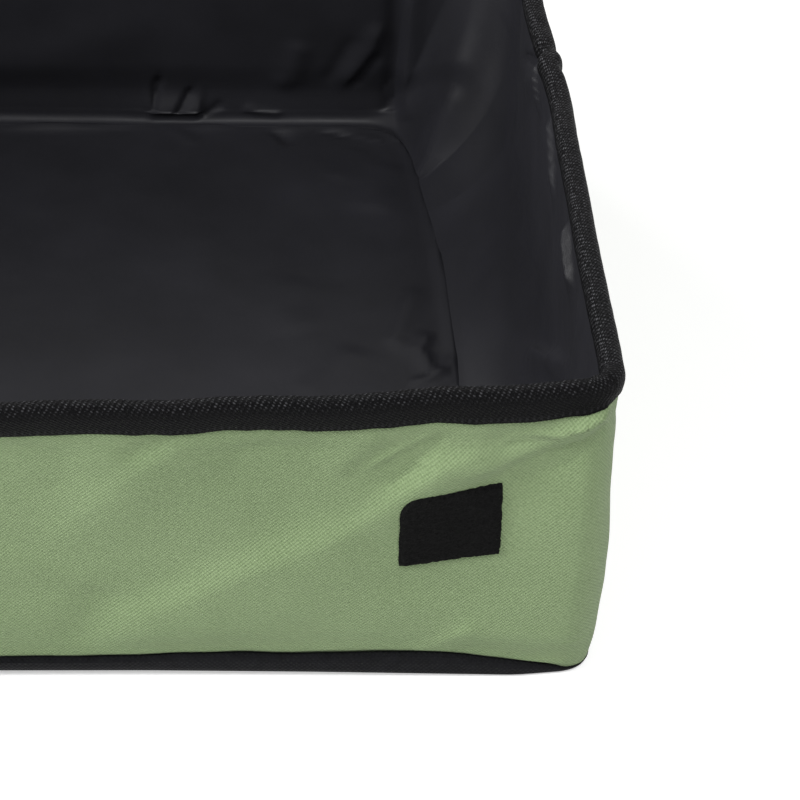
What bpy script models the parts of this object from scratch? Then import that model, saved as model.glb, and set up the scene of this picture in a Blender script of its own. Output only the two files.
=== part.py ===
"""Foldable litter box: a stiffened cloth tub whose four walls fold flat on to its floor.

Metres, +Z up, front towards -Y. The origin is at the middle of the underside.
"""
import bpy
import bmesh
from math import cos, pi, sin, sqrt

# Driving dimensions
width = 0.400
depth = 0.310
height = 0.120
cloth = 0.0008
gap = 0.0003
board_thick = 0.0024
corner_radius = 0.0044
base_sheet = 0.0012
base_edge = 0.0070
base_turn = 0.0014
binding_outer = 0.0110
binding_inner = 0.0075
rim_round = 0.0022
web_rim_round = 0.0020
end_bow = 0.0080
side_bow = 0.0030
bow_power = 1.5
patch_width = 0.032
patch_height = 0.025
patch_thick = 0.0012
patch_corner = 0.0025
patch_from_corner = 0.047
patch_height_share = 0.52
mitre_start = 0.0006
web_foot = 0.0010
lip_radius = 0.0004

# Cloth and board layers, counted from a wall's outer face inwards
wall_thick = 2 * cloth + 2 * gap + board_thick
web_thick = 2 * cloth + gap
proud = cloth + gap
board_out = cloth + gap
board_in = board_out + board_thick
liner_out = board_in + gap
web_liner_out = cloth + gap
lower_thick = board_in

# Planes of the tub
out_x = width / 2 - proud
out_y = depth / 2 - proud
in_x = out_x - wall_thick
in_y = out_y - wall_thick

# Levels of the floor, the hinges and the rim
floor_board_low = base_sheet + gap
floor_board_top = floor_board_low + board_thick
floor_liner_low = floor_board_top + gap
floor_top = floor_liner_low + cloth
side_hinge = base_edge + gap
end_hinge = side_hinge + 2 * wall_thick + proud + gap
board_top = height - proud
cover_top = height - rim_round + gap / 2
web_top = height - web_rim_round
web_notch = height - binding_inner - 2 * gap
mitre_gap = gap * sqrt(2)

# Mesh steps
arc_steps = 3
long_steps = 16
side_steps = 6
web_steps = 4
rise_steps = 6

green = (0.27, 0.33, 0.20)
black = (0.018, 0.018, 0.019)
liner_black = (0.014, 0.014, 0.016)
board_grey = (0.36, 0.34, 0.31)


def clearScene():
    for item in list(bpy.data.objects):
        bpy.data.objects.remove(item, do_unlink=True)


def addMaterial(name, colour, roughness):
    material = bpy.data.materials.new(name)
    material.use_nodes = True
    shader = material.node_tree.nodes["Principled BSDF"]
    shader.inputs["Base Color"].default_value = (*colour, 1.0)
    shader.inputs["Roughness"].default_value = roughness
    shader.inputs["Metallic"].default_value = 0.0
    return material


def addSolid(name, points, faces, origin, colour, roughness):
    """One closed body, with its own origin and its own material."""
    mesh = bpy.data.meshes.new(name)
    local = [tuple(point[axis] - origin[axis] for axis in range(3)) for point in points]
    mesh.from_pydata(local, [], faces)
    work = bmesh.new()
    work.from_mesh(mesh)
    bmesh.ops.recalc_face_normals(work, faces=work.faces)
    work.to_mesh(mesh)
    work.free()
    solid = bpy.data.objects.new(name, mesh)
    solid.location = origin
    bpy.context.scene.collection.objects.link(solid)
    mesh.materials.append(addMaterial(name, colour, roughness))
    return solid


def between(start, end, steps):
    return [start + (end - start) * step / steps for step in range(steps + 1)]


def gridFaces(first, rows, columns, flip):
    faces = []
    for row in range(rows - 1):
        for column in range(columns - 1):
            low = first + row * columns + column
            face = (low, low + 1, low + columns + 1, low + columns)
            faces.append(face[::-1] if flip else face)
    return faces


def rowFaces(rows, columns, second):
    """Strips along the first and last row, from one skin to the other."""
    faces = []
    for start in (0, (rows - 1) * columns):
        for column in range(columns - 1):
            low = start + column
            faces.append((low, low + 1, second + low + 1, second + low))
    return faces


def addShell(name, outer, inner, origin, colour, roughness):
    """A sheet between two grids of points, closed along all four edges."""
    rows, columns = len(outer), len(outer[0])
    second = rows * columns
    points = [point for row in outer + inner for point in row]
    faces = gridFaces(0, rows, columns, False) + gridFaces(second, rows, columns, True)
    faces += rowFaces(rows, columns, second)
    for start in (0, columns - 1):
        for row in range(rows - 1):
            low = start + row * columns
            faces.append((low, low + columns, second + low + columns, second + low))
    return addSolid(name, points, faces, origin, colour, roughness)


def addCap(name, outer, inner, origin, colour, roughness):
    """A channel closed at both ends: the grids' rows run round its U, from edge to edge."""
    rows, columns = len(outer), len(outer[0])
    second = rows * columns
    points = [point for row in outer + inner for point in row]
    faces = gridFaces(0, rows, columns, False) + gridFaces(second, rows, columns, True)
    faces += rowFaces(rows, columns, second)
    last = (rows - 1) * columns
    for end in (0, columns - 1):
        faces.append(tuple(end + row * columns for row in range(rows)))
        faces.append(tuple(second + end + row * columns for row in range(rows)))
        faces.append((end, last + end, second + last + end, second + end))
    return addSolid(name, points, faces, origin, colour, roughness)


def bow(side, along, level):
    """How far the soft wall leans out at a point of it, nothing at its hinge and corners."""
    ends = side in ("front", "back")
    hinge = end_hinge if ends else side_hinge
    half = out_x if ends else out_y
    rise = max(0.0, (level - hinge) / (height - hinge))
    return (end_bow if ends else side_bow) * (1 - min(1.0, abs(along) / half) ** 2) * rise ** bow_power


def wallPoint(side, along, inset, level):
    reach = bow(side, along, level) - inset
    return {
        "front": (along, -out_y - reach, level),
        "back": (along, out_y + reach, level),
        "right": (out_x + reach, along, level),
        "left": (-out_x - reach, along, level),
    }[side]


def hingePoint(side):
    return {
        "front": (0.0, -in_y, end_hinge),
        "back": (0.0, in_y, end_hinge),
        "right": (in_x, 0.0, side_hinge),
        "left": (-in_x, 0.0, side_hinge),
    }[side]


def wallSkin(side, spanAt, levels, steps, inset):
    return [[wallPoint(side, along, inset, level) for along in between(*spanAt(level), steps)]
            for level in levels]


def addWallSheet(name, side, spanAt, levels, steps, insets, origin, colour, roughness):
    outer = wallSkin(side, spanAt, levels, steps, insets[0])
    inner = wallSkin(side, spanAt, levels, steps, insets[1])
    return addShell(name, outer, inner, origin, colour, roughness)


# Front and back walls: whole rectangles whose cover turns round both corners

def cornerArc():
    """From the middle of an arc: how far each step lies along and across, and its inward normal."""
    turns = between(0.0, pi / 2, arc_steps)
    return [(cos(turn), sin(turn)) for turn in turns]


def endPath():
    """Stations along a front wall's outer face, from the right end's return to the left one's."""
    centre_x, centre_y = out_x - corner_radius, -out_y + corner_radius
    right = [(centre_x + corner_radius * c, centre_y - corner_radius * s, -c, s) for c, s in cornerArc()]
    middle = [(along, -out_y, 0.0, 1.0) for along in between(centre_x, -centre_x, long_steps)[1:-1]]
    left = [(-x, y, -across, inward) for x, y, across, inward in reversed(right)]
    return right + middle + left


def endPoint(side, station, inset, level):
    x, y, across, inward = station
    flip = 1 if side == "front" else -1
    return (x + across * inset, flip * (y + inward * inset - bow(side, x, level)), level)


def addEndCover(side):
    levels = between(end_hinge, cover_top, rise_steps)
    outer = [[endPoint(side, station, 0.0, level) for station in endPath()] for level in levels]
    inner = [[endPoint(side, station, cloth, level) for station in endPath()] for level in levels]
    addShell(side + "_cover", outer, inner, hingePoint(side), green, 0.85)


def addLowerCover(side):
    """The strip of cover below the end wall's hinge, which stays with the base."""
    levels = (side_hinge, end_hinge - gap)
    outer = [[endPoint(side, station, 0.0, level) for station in endPath()] for level in levels]
    inner = [[endPoint(side, station, lower_thick, level) for station in endPath()] for level in levels]
    addShell(side + "_lower_cover", outer, inner, (0.0, 0.0, 0.0), green, 0.85)


def addEndWall(side):
    board_end, liner_end = out_x - corner_radius, out_x - cloth - gap
    origin = hingePoint(side)
    addEndCover(side)
    addWallSheet(side + "_board", side, lambda level: (-board_end, board_end),
                 between(end_hinge, board_top, rise_steps), long_steps,
                 (board_out, board_in), origin, board_grey, 0.8)
    addWallSheet(side + "_liner", side, lambda level: (-liner_end, liner_end),
                 between(end_hinge, cover_top, rise_steps), long_steps,
                 (liner_out, wall_thick), origin, liner_black, 0.5)
    addEndBinding(side)
    for place, name in ((1, "right"), (-1, "left")):
        addPatch(side, place, name)


# Binding: a tape folded over the rim, of U-shaped section

def rimSection(thick, radius, skin):
    """Inset and level of each point round the tape's section, on its outer or its inner skin."""
    less = 0.0 if skin == "outer" else cloth
    turn = radius - less
    out_centre, in_centre = radius - proud, thick + proud - radius
    level = height - radius
    out_arc = [(out_centre - turn * cos(a), level + turn * sin(a)) for a in between(0.0, pi / 2, arc_steps)]
    in_arc = [(in_centre + turn * sin(a), level + turn * cos(a)) for a in between(0.0, pi / 2, arc_steps)]
    start = (-proud + less, height - binding_outer)
    end = (thick + proud - less, height - binding_inner)
    return [start] + out_arc + in_arc + [end]


def bindingSkin(side, spanAt, steps, thick, radius, skin):
    rows = []
    for inset, level in rimSection(thick, radius, skin):
        rows.append([wallPoint(side, along, inset, level) for along in between(*spanAt(level), steps)])
    return rows


def addEndBinding(side):
    """The tape's ends are closed over the wall's two corners."""
    skins = []
    for skin, reach in (("outer", out_x + proud), ("inner", out_x + gap)):
        skins.append(bindingSkin(side, lambda level: (-reach, reach), long_steps, wall_thick, rim_round, skin))
    addCap(side + "_binding", skins[0], skins[1], hingePoint(side), black, 0.7)


def addOpenBinding(name, side, spanAt, steps, thick, radius, origin):
    outer = bindingSkin(side, spanAt, steps, thick, radius, "outer")
    inner = bindingSkin(side, spanAt, steps, thick, radius, "inner")
    addShell(name, outer, inner, origin, black, 0.7)


# Hook-and-loop patches, with rounded corners, on the end walls' outer faces

def addPatch(side, place, name):
    middle = place * (width / 2 - patch_from_corner)
    low = height * patch_height_share - patch_height / 2
    turns = between(0.0, pi / 2, arc_steps)
    lower = [low + patch_corner * (1 - cos(turn)) for turn in turns]
    drawn = [patch_corner * (1 - sin(turn)) for turn in turns]
    top = 2 * low + patch_height
    levels = lower + [top - level for level in reversed(lower)]
    inset_at = dict(zip(levels, drawn + drawn[::-1]))
    half = patch_width / 2
    span = lambda level: (middle - half + inset_at[level], middle + half - inset_at[level])
    addWallSheet(f"{side}_patch_{name}", side, span, levels, web_steps, (-gap - patch_thick, -gap),
                 hingePoint(side), black, 0.95)


# Side walls: boards with mitred ends, in two halves with a crease between them

def mitreAt(level):
    return in_y - mitre_start - (level - side_hinge)


def sideSpan(level):
    return (-mitreAt(level), mitreAt(level))


def addSideWall(side):
    origin = hingePoint(side)
    front_half = lambda level: (-mitreAt(level), -gap)
    rear_half = lambda level: (gap, mitreAt(level))
    for name, span in (("front", front_half), ("rear", rear_half)):
        addWallSheet(f"{side}_board_{name}", side, span, between(side_hinge, board_top, rise_steps),
                     side_steps // 2, (board_out, board_in), origin, board_grey, 0.8)
    levels = between(side_hinge, cover_top, rise_steps)
    addWallSheet(side + "_cover", side, sideSpan, levels, side_steps, (0.0, cloth), origin, green, 0.85)
    addWallSheet(side + "_liner", side, sideSpan, levels, side_steps, (liner_out, wall_thick), origin,
                 liner_black, 0.5)
    addOpenBinding(side + "_binding", side, sideSpan, side_steps, wall_thick, rim_round, origin)


# Corner webs: soft triangles with no board, hinged on the end walls' corners

def webOrigin(end, side):
    x = in_x if side == "right" else -in_x
    y = -in_y if end == "front" else in_y
    return (x, y, end_hinge)


def webSpan(end):
    """From the corner to the mitre, with a notch under the end binding's inner edge."""
    def span(level):
        start = gap if level <= web_notch else proud + gap
        near, far = in_y - start, mitreAt(level) + mitre_gap
        return (-near, -far) if end == "front" else (near, far)
    return span


def addWeb(end, side):
    name = f"web_{end}_{side}"
    origin = webOrigin(end, side)
    span = webSpan(end)
    levels = between(side_hinge + web_foot, web_notch, rise_steps - 1) + [web_notch + gap, web_top]
    addWallSheet(name + "_cover", side, span, levels, web_steps, (0.0, cloth), origin, green, 0.85)
    addWallSheet(name + "_liner", side, span, levels, web_steps, (web_liner_out, web_thick),
                 origin, liner_black, 0.5)
    rim_span = lambda level: span(max(level, web_top))
    mitred = lambda level: (rim_span(level)[0], span(level)[1])
    addOpenBinding(name + "_binding", side, mitred, web_steps, web_thick, web_rim_round, origin)


# Base: a shallow black tray, two floor boards and a liner with a raised lip

def roundedLoop(inset, radius, long_points):
    """Plan points round the tub, anticlockwise from the front left corner, and their side."""
    centre_x, centre_y = out_x - inset - radius, out_y - inset - radius
    loop = []
    for quarter, (sign_x, sign_y) in enumerate(((-1, -1), (1, -1), (1, 1), (-1, 1))):
        start = pi + quarter * pi / 2
        for turn in between(start, start + pi / 2, arc_steps):
            loop.append((sign_x * centre_x + radius * cos(turn), sign_y * centre_y + radius * sin(turn)))
        if long_points:
            loop.append(long_points[quarter])
    return loop


def addTray(name, rings, colour, roughness):
    """Stacked loops of equal length, the first and the last one closed by a flat face."""
    count = len(rings[0])
    points = [point for ring in rings for point in ring]
    faces = [tuple(range(count)), tuple((len(rings) - 1) * count + step for step in range(count))]
    for ring in range(len(rings) - 1):
        for step in range(count):
            low, side = ring * count + step, ring * count + (step + 1) % count
            faces.append((low, side, side + count, low + count))
    return addSolid(name, points, faces, (0.0, 0.0, 0.0), colour, roughness)


def ringAt(inset, radius, levelAt):
    return [(x, y, levelAt(x, y)) for x, y in roundedLoop(inset, radius, None)]


def addBaseFabric():
    flat = lambda level: (lambda x, y: level)
    inner_radius = corner_radius - cloth
    rings = [ringAt(base_turn, corner_radius - base_turn, flat(0.0))]
    for turn in between(0.0, pi / 2, arc_steps)[1:]:
        inset = base_turn * (1 - sin(turn))
        rings.append(ringAt(inset, corner_radius - inset, flat(base_turn * (1 - cos(turn)))))
    rings.append(ringAt(0.0, corner_radius, flat(base_edge)))
    rings.append(ringAt(cloth, inner_radius, flat(base_edge)))
    rings.append(ringAt(cloth, inner_radius, flat(base_sheet)))
    addTray("base_fabric", rings, black, 0.75)


def addFloorLiner():
    """Its lip is low along the side walls, and high behind the front and back lower covers."""
    def lipTop(x, y):
        at_end = abs(y) > in_y - gap and abs(x) < in_x
        return end_hinge - gap if at_end else side_hinge - gap
    flat = lambda level: (lambda x, y: level)
    outer_radius = lip_radius + cloth
    rings = [
        ringAt(liner_out, outer_radius, flat(floor_liner_low)),
        ringAt(liner_out, outer_radius, lipTop),
        ringAt(wall_thick, lip_radius, lipTop),
        ringAt(wall_thick, lip_radius, flat(floor_top)),
    ]
    addTray("floor_liner", rings, liner_black, 0.5)


def addFloorBoard(name, flip):
    """Half of the floor, with the base's corner radius at its two outer corners."""
    inset = cloth + gap
    radius = corner_radius - inset
    x_centre, y_centre = out_x - inset - radius, out_y - inset - radius
    corner = [(x_centre + radius * c, y_centre + radius * s) for c, s in cornerArc()]
    half = [(out_x - inset, gap)] + corner
    outline = half + [(-x, y) for x, y in reversed(half)]
    rings = [[(x, flip * y, level) for x, y in outline] for level in (floor_board_low, floor_board_top)]
    addTray(name, rings, board_grey, 0.8)


def buildPart():
    clearScene()
    addBaseFabric()
    addFloorBoard("floor_board_front", -1)
    addFloorBoard("floor_board_rear", 1)
    addFloorLiner()
    for side in ("front", "back"):
        addLowerCover(side)
        addEndWall(side)
    for side in ("right", "left"):
        addSideWall(side)
    for end in ("front", "back"):
        for side in ("right", "left"):
            addWeb(end, side)


buildPart()
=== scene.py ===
import math
import bpy
import numpy as np
from mathutils import Matrix


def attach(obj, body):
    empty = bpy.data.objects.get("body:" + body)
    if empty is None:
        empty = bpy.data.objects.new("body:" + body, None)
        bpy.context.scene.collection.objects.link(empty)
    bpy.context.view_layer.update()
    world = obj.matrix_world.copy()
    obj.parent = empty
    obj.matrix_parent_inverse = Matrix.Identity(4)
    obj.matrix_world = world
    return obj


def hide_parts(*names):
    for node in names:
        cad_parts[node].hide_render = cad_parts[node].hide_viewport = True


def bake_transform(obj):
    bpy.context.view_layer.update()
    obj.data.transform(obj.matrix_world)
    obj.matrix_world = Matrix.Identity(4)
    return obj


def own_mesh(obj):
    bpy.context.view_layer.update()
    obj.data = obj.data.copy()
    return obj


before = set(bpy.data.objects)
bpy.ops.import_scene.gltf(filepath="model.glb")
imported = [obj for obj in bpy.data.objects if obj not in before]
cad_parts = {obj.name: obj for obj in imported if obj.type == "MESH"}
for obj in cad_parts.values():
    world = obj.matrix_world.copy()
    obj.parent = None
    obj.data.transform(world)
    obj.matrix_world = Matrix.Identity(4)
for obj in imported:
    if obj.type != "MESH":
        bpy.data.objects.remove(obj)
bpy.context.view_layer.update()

# Foldable litter box: soft cloth tub, all lengths in metres, front towards -Y

tub = {
    "halfWidth": 0.1989,  # outside of the green cloth
    "halfDepth": 0.1539,
    "height": 0.1200,
    "wall": 0.0044,  # outside of the cloth to the face of the liner
    "floorTop": 0.0052,
    "sideHinge": 0.0073,  # levels where the walls fold
    "endHinge": 0.0179,
    "endBow": 0.0088,  # how far the end rims lean out in the middle
    "sideDrawn": 0.0012,  # how far the side rims are drawn in, and more behind the fold
    "sideDrawnBehind": 0.0040,
    "drawnBehind": (0.062, 0.038),  # middle and reach of that
    "bowPower": 1.5,
    "endSag": 0.0029,  # how far the rims dip in the middle
    "sideSag": 0.0012,
    "cornerOut": 0.0100,
    "cornerBulge": 0.0028,  # how far the cloth is filled out low down at the corners
    "bulgeUp": (0.030, 0.050),  # middle and reach of that in height
    "bulgeReach": 0.045,
    "mitreFoot": 0.1487,  # where the mitre between a side wall and a corner starts
    "coverTop": 0.1150,
}
halfW, halfD = tub["halfWidth"], tub["halfDepth"]
rimTop = tub["height"]
sides = {"right": 1, "left": -1}
ends = {"front": -1, "back": 1}
halves = {"front": -1, "rear": 1}
corners = [(sx, sy) for sx in (1, -1) for sy in (-1, 1)]
print("frame read:", len(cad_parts), "nodes")


# Small tools for shapes

def smooth(value, low, high):
    t = np.clip((np.asarray(value, float) - low) / (high - low), 0, 1)
    return t * t * (3 - 2 * t)


def ripple(u, v, seed, wave, count=7):
    # soft noise between about -1 and 1 with one main wavelength
    rng = np.random.default_rng(seed)
    total = np.zeros(np.broadcast(u, v).shape)
    for _ in range(count):
        heading, start, stretch = rng.random(3) * (2 * math.pi, 2 * math.pi, 0.9)
        k = 2 * math.pi / (wave * (0.6 + stretch))
        total += np.sin(k * (u * math.cos(heading) + v * math.sin(heading)) + start)
    return total / math.sqrt(count)


def wavesOf(u, v, seed, waves):
    return sum(high * ripple(u, v, seed + i, wave) for i, (high, wave) in enumerate(waves))


def signOf(value):
    return np.where(value < 0, -1.0, 1.0)


def bell(value, middle, reach):
    return np.exp(-((value - middle) / reach) ** 2)


def foldLine(u, v, line, width, height, fade=(0.22, 0.22)):
    # a ridge along a line of points, or a groove if height is negative, all in millimetres: two widths
    # are those on its left and right, and fade is the share of its length in which each end dies away
    left, right = width if isinstance(width, tuple) else (width, width)
    best = np.zeros(np.broadcast(u, v).shape)
    points = np.reshape(line, (-1, 2)).astype(float)
    lengths = np.linalg.norm(np.diff(points, axis=0), axis=1)
    starts = np.concatenate([[0], np.cumsum(lengths)])
    for i in range(len(points) - 1):
        along = (points[i + 1] - points[i]) / lengths[i]
        du, dv = u * 1000 - points[i][0], v * 1000 - points[i][1]
        t = np.clip(du * along[0] + dv * along[1], 0, lengths[i])
        away = np.hypot(du - t * along[0], dv - t * along[1])
        share = (starts[i] + t) / starts[-1]
        strength = np.minimum(smooth(share, 0, fade[0]), smooth(1 - share, 0, fade[1]))
        onLeft = 0.5 + 0.5 * (along[0] * dv - along[1] * du) / np.maximum(away, 1e-6)
        reach = right + (left - right) * onLeft
        best = np.maximum(best, np.exp(-(away / reach) ** 2) * (0.12 + 0.88 * strength))
    return best * height / 1000


def foldsOf(u, v, folds):
    return sum(foldLine(u, v, *fold) for fold in folds)


def wallFolds(cloth, sx, sy, acrossEnd, alongSide, h, onSide):
    # the folds of both ends and of the sides, onSide saying how much of the latter
    front, back = (foldsOf(acrossEnd, h, cloth[end + "Folds"]) for end in ends)
    side = foldsOf(alongSide * sx, h, cloth["sideFolds"])
    return np.where(sy < 0, front, back) * (1 - onSide) + side * onSide


def unit(vectors):
    return vectors / np.maximum(np.linalg.norm(vectors, axis=-1, keepdims=True), 1e-12)


def rise(z, hinge):
    return np.clip((z - hinge) / (rimTop - hinge), 0, None) ** tub["bowPower"]


def mitre(h):
    # half the length of a side wall at a height
    return np.minimum(tub["mitreFoot"] - (h - tub["sideHinge"]), halfD - tub["cornerOut"] - 0.002)


# Every point of a wall is found from its corner: lam runs along the end wall where it is
# negative and along the side wall where it is positive, and h goes up the cloth

def around(sx, sy, lam, h, halfX, halfY, radius, crease=0.0):
    part = np.clip((lam / radius + 1) / 2, 0, 1)
    turn = part * (math.pi / 2)
    cut = crease * np.cos(turn)
    bendX, bendY = np.sin(turn) * (1 - cut) + part * cut, np.cos(turn) * (1 - cut) + (1 - part) * cut
    x = np.where(lam < -radius, halfX + lam, halfX - radius + radius * bendX)
    y = np.where(lam > radius, halfY - lam, halfY - radius + radius * bendY)
    endShare, sideShare = np.cos(turn), np.sin(turn)
    endMid = np.clip(1 - (x / halfW) ** 2, 0, 1)
    sideMid = np.clip(1 - (y / halfD) ** 2, 0, 1)
    sag = (tub["endSag"] * endMid * endShare + tub["sideSag"] * sideMid * sideShare) * (h / rimTop) ** 2
    drawn = tub["sideDrawn"] * sideMid + tub["sideDrawnBehind"] * bell(sy * y, *tub["drawnBehind"])
    x = x - drawn * rise(h, tub["sideHinge"]) * sideShare
    y = y + tub["endBow"] * endMid * rise(h, tub["endHinge"]) * endShare
    x = x + tub["cornerBulge"] * bell(h, *tub["bulgeUp"]) * bell(lam, 0, tub["bulgeReach"]) * sideShare
    place = np.stack([sx * x, sy * y, h - sag], -1)
    out = np.stack([sx * np.sin(turn), sy * np.cos(turn), np.zeros_like(turn)], -1)
    return place, out


# Green cloth outside

greenCloth = {
    "thick": 0.0008,
    "waves": ((0.00035, 0.075), (0.00012, 0.021)),  # height and length of its soft waves
    "fadeTop": (0.115, 0.106), "fadeFoot": (0.008, 0.022),  # heights between which the relief fades
    "seamTuck": 0.0014, "seamRoll": 0.0015, "rollReach": 0.0095,
    # the hollow under the tape, and how far it reaches up and down
    "underBand": 0.0012, "bandFoot": 0.0980, "bandUp": 0.0055, "bandDown": 0.0280,
    "deepest": 0.0013,
    # height of the seam, in millimetres, along an end from its middle and along a side from its corner
    "seamEnd": ([0, 33, 52, 70, 88, 106, 124, 145, 159, 171, 178, 186, 192, 199],
                [8.0, 8.0, 8.6, 9.7, 9.6, 8.9, 9.3, 9.6, 8.6, 6.7, 5.2, 3.5, 1.6, 0.5]),
    "seamSide": ([0, 8, 20, 60, 110, 154], [0.5, 1.1, 3.4, 7.6, 8.8, 8.2]),
    "frontFolds": [
        # the long fold pulled from the right corner, with the groove and thin ridge above it
        ([167, 97.5, 156, 94.5, 147.5, 90.6, 140.8, 83.6, 135.2, 78, 129.5, 72.3, 123.8, 66.5, 112.1, 58.2],
          (8.8, 4.2), 3.1, (0.2, 0.75)),
        ([137, 79, 129.5, 72.3, 123.8, 66.5, 112.1, 58.2, 100.2, 51.5, 88.3, 44.7, 76.2, 36.9, 64, 29.1, 55.4,
          22.1, 47.9, 14], (27, 8), 2.9, (0.3, 0.35)),
        ([149, 106, 141, 98.3, 133.2, 89.6, 128, 83], 4.2, -1.9),
        ([147, 107, 143.7, 104, 136, 98.5, 129, 93.3, 124, 88], (3, 1.8), 1.1),
        ([130, 105, 120.4, 96, 114, 87], (3.5, 7), 1),
        ([197, 112, 192, 107, 186.8, 102.4, 178.7, 98.6, 169, 94.2, 160, 90.5, 150, 86], (3.8, 4.6), 2.6,
          (0.05, 0.28)),
        ([197, 111, 186.8, 105, 178.7, 102.3, 168.1, 101.6, 161.5, 97], (1.2, 1.8), 1.1, (0.05, 0.35)),
        ([196, 104, 184, 95, 172, 87], 5, -1, (0.05, 0.35)),
        ([74, 106, 66.9, 98.4, 61.1, 93.4, 52.9, 85.9, 40, 70, 28, 52], (15, 5), 1.1, (0.1, 0.9)),
        ([68, 106, 60, 102.6, 53, 97], 4, -0.8),
        ([163, 25, 151, 14.6, 141, 9], (7, 2.8), 1),
        ([189, 98, 190, 52, 187, 4], (10.5, 24), 3.4, (0.3, 0.02)),
        ([50, 42, 43.5, 28, 38, 12], 8, -1.4),
        ([20, 64, 8, 42, 2, 20], (20, 8), 1.2),
        ([-197, 111, -184, 103, -168, 93, -150, 84, -128, 66, -104, 52, -78, 36, -58, 22], (4.6, 15), 3.4,
          (0.08, 0.5)),
        ([-150, 103, -141, 95, -132, 84], 4, -1.5),
        ([-196, 109, -180, 103.5, -166, 101.5], 1.8, 1, (0.05, 0.35)),
        ([-60, 106, -48, 92, -40, 74], (5, 12), 1.3),
        ([-188, 84, -186, 50, -182, 13], (18, 8), 2.2),
    ],
    "backFolds": [
        ([196, 110, 180, 100, 158, 84, 132, 62, 100, 40, 64, 20], (15, 4.8), 3.4, (0.08, 0.5)),
        ([150, 104, 140, 94, 132, 82], 4, -1.4),
        ([-196, 110, -176, 98, -152, 80, -120, 52, -84, 24], (4.8, 15), 3.6, (0.08, 0.5)),
        ([195, 108, 178, 103, 162, 101.5], 1.8, 1, (0.05, 0.35)),
        ([-187, 88, -186, 48, -182, 13], (18, 8), 2.2),
        ([186, 88, 187, 50, 184, 13], (8, 18), 2.2),
        ([22, 104, 8, 74, 14, 34], (6, 14), 1.4),
    ],
    "sideFolds": [
        ([0, 116, -2, 84, 1, 48, 0, 12], 4, -1.6, (0.05, 0.1)),
        ([5, 113, 20, 94, 46, 76, 74, 60], (9, 4), 2, (0.08, 0.5)),
        ([-6, 112, -24, 90, -52, 66, -84, 46], (4, 10), 2.2, (0.08, 0.5)),
        ([-138, 104, -116, 70, -96, 26], (5, 13), 2.2),
        ([138, 104, 114, 68, 92, 24], (13, 5), 2.2),
        ([-60, 16, -30, 12, 20, 15], 6, 1),
    ],
}


def seamHeight(sx, sy, lam):
    endX, endH = greenCloth["seamEnd"]
    sideX, sideH = greenCloth["seamSide"]
    onEnd = np.interp((halfW + lam) * 1000, endX, endH)
    onSide = np.interp(lam * 1000, sideX, sideH)
    waver = 0.25 * ripple(sx * lam, sy * lam, 5, 0.045)
    return (np.where(lam < 0, onEnd, onSide) + waver) / 1000


def coverRelief(sx, sy, lam, h):
    acrossEnd, alongSide = sx * (halfW + lam), sy * (halfD - lam)
    fade = smooth(h, *greenCloth["fadeTop"]) * (0.25 + 0.75 * smooth(h, *greenCloth["fadeFoot"]))
    (soft, softLong), (fine, fineLong) = greenCloth["waves"]
    total = soft * ripple(acrossEnd, h * 1.2 + sy * 0.3, 11, softLong)
    total = total + fine * ripple(acrossEnd + sy, h, 12, fineLong)
    total = total + wallFolds(greenCloth, sx, sy, acrossEnd, alongSide, h, smooth(lam, 0, 0.02))
    seam, bandFoot = seamHeight(sx, sy, lam), greenCloth["bandFoot"]
    tuck = greenCloth["seamTuck"] * (1 - smooth(h, seam - 0.0005, seam + 0.0016))
    tuck = tuck + greenCloth["seamRoll"] * bell(h, seam, greenCloth["rollReach"])
    reach = np.where(h > bandFoot, greenCloth["bandUp"], greenCloth["bandDown"])
    uneven = 1 + 0.8 * ripple(acrossEnd, alongSide, 14, 0.070)
    hollow = greenCloth["underBand"] * bell(h, bandFoot, reach) * uneven
    return np.maximum(total * fade - hollow, -greenCloth["deepest"]) - tuck


def coverPoint(sx, sy, lam, h, inset=0.0):
    place, out = around(sx, sy, lam, h, halfW, halfD, tub["cornerOut"])
    push = coverRelief(sx, sy, lam, h) - inset
    return place + out * push[..., None], out


# Liner inside: wide soft corners, which lean in towards the floor

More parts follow.
